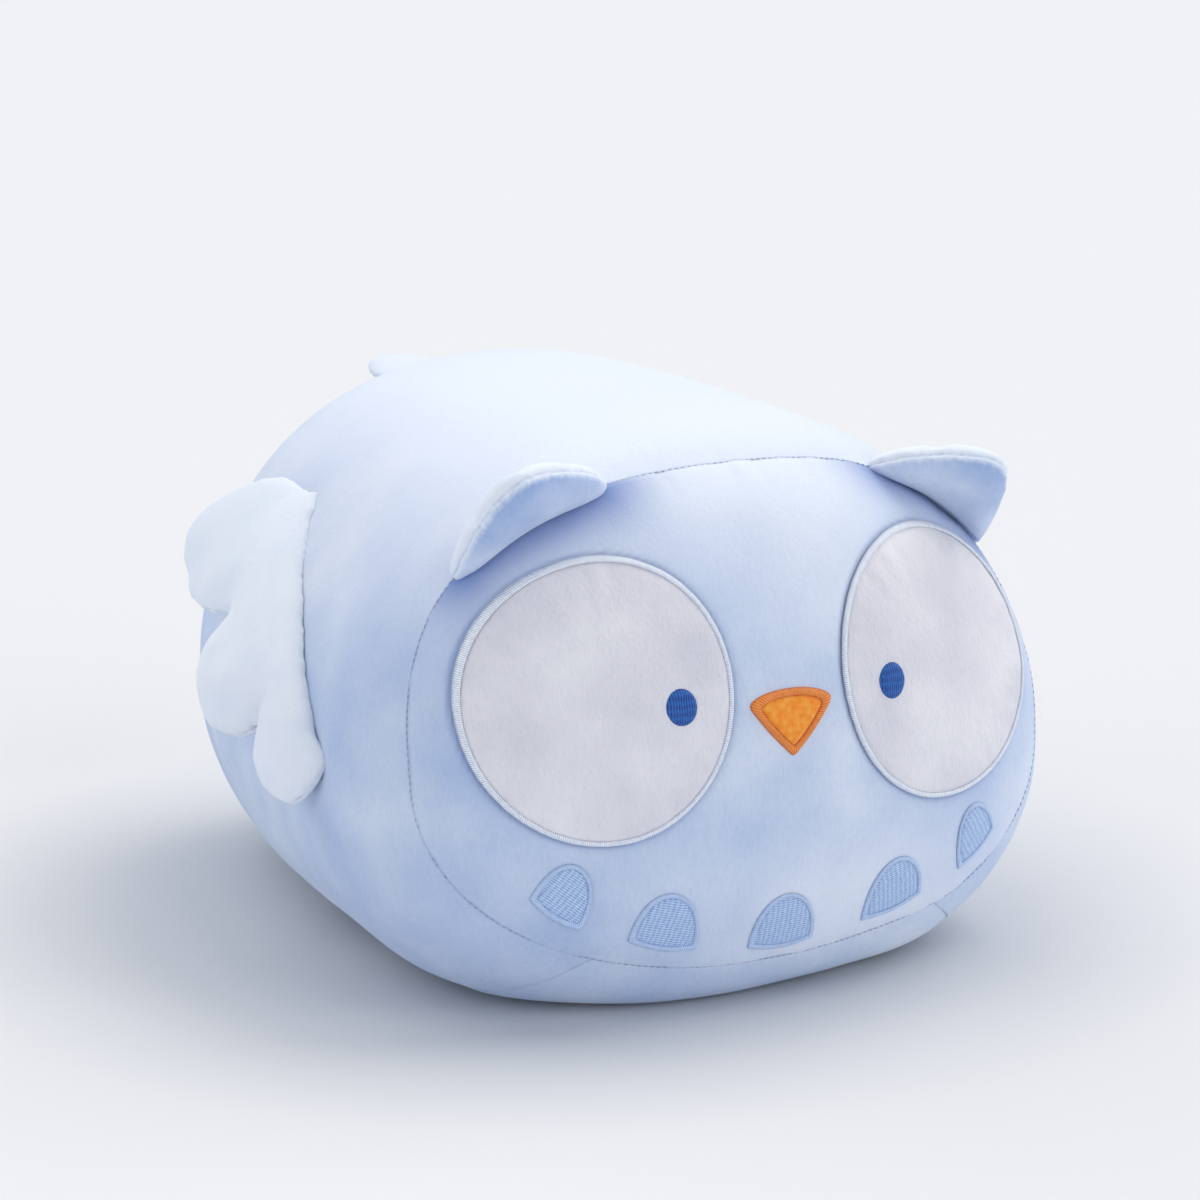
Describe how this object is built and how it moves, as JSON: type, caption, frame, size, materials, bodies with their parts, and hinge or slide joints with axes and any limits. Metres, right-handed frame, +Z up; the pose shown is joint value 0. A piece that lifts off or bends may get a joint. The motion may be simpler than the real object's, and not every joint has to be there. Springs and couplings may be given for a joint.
{
  "type": "plush owl",
  "caption": "Loaf-shaped stuffed plush owl in pale blue, with round embroidered eyes, an orange fan beak, stitched feather marks, small folded ears, scalloped side wings and a short tail.",
  "frame": {"origin": "on the floor under the middle of the body's length, in the plane of symmetry", "axes": "+Z up, the face looks along -Y and the rump along +Y, +X is the owl's own left"},
  "size_m": [0.339, 0.3742, 0.2251],
  "materials": {
    "paleBlue": "short-pile plush",
    "faceBlue": "short-pile plush",
    "white": "short-pile plush",
    "pupilBlue": "fill-stitched thread",
    "orange": "short-pile plush",
    "darkOrange": "satin-stitched thread",
    "threadWhite": "satin-stitched thread",
    "threadBlue": "fill and satin-stitched thread",
    "filling": "loose polyester fibre"
  },
  "bodies": {
    "body": {"body_stuffing": "filling", "face_panel": "faceBlue", "body_panel": "paleBlue", "base_panel": "paleBlue", "rear_panel": "paleBlue", "eye_patch_left": "white", "eye_border_left": "threadWhite", "pupil_left": "pupilBlue", "eye_patch_right": "white", "eye_border_right": "threadWhite", "pupil_right": "pupilBlue", "beak_patch": "orange", "beak_border": "darkOrange", "feather_mark_1": "threadBlue", "feather_border_1": "threadBlue", "feather_mark_2": "threadBlue", "feather_border_2": "threadBlue", "feather_mark_3": "threadBlue", "feather_border_3": "threadBlue", "feather_mark_4": "threadBlue", "feather_border_4": "threadBlue", "feather_mark_5": "threadBlue", "feather_border_5": "threadBlue"},
    "wing_left": {"wing_left_outer_panel": "white", "wing_left_inner_panel": "white", "wing_left_stuffing": "filling"},
    "wing_right": {"wing_right_outer_panel": "white", "wing_right_inner_panel": "white", "wing_right_stuffing": "filling"},
    "ear_left": {"ear_left_front_panel": "faceBlue", "ear_left_back_panel": "white", "ear_left_stuffing": "filling"},
    "ear_right": {"ear_right_front_panel": "faceBlue", "ear_right_back_panel": "white", "ear_right_stuffing": "filling"},
    "tail": {"tail_upper_panel": "white", "tail_under_panel": "white", "tail_stuffing": "filling"}
  },
  "joints": [
    {"name": "wing_left_flap", "type": "hinge", "parent": "body", "child": "wing_left", "pos_m": [0.13412, -0.03929, 0.13869], "axis": [0.2996, -0.7488, -0.5913], "range_deg": [0, 70]},
    {"name": "wing_right_flap", "type": "hinge", "parent": "body", "child": "wing_right", "pos_m": [-0.13412, -0.03929, 0.13869], "axis": [0.2996, 0.7488, 0.5913], "range_deg": [0, 70]},
    {"name": "ear_left_fold", "type": "hinge", "parent": "body", "child": "ear_left", "pos_m": [0.08839, -0.12965, 0.18636], "axis": [-0.8537, -0.1293, 0.5045], "range_deg": [0, 65]},
    {"name": "ear_right_fold", "type": "hinge", "parent": "body", "child": "ear_right", "pos_m": [-0.08839, -0.12965, 0.18636], "axis": [-0.8537, 0.1293, -0.5045], "range_deg": [0, 65]},
    {"name": "tail_lift", "type": "hinge", "parent": "body", "child": "tail", "pos_m": [0, 0.13865, 0.20202], "axis": [1, 0, 0], "range_deg": [0, 50]}
  ]
}
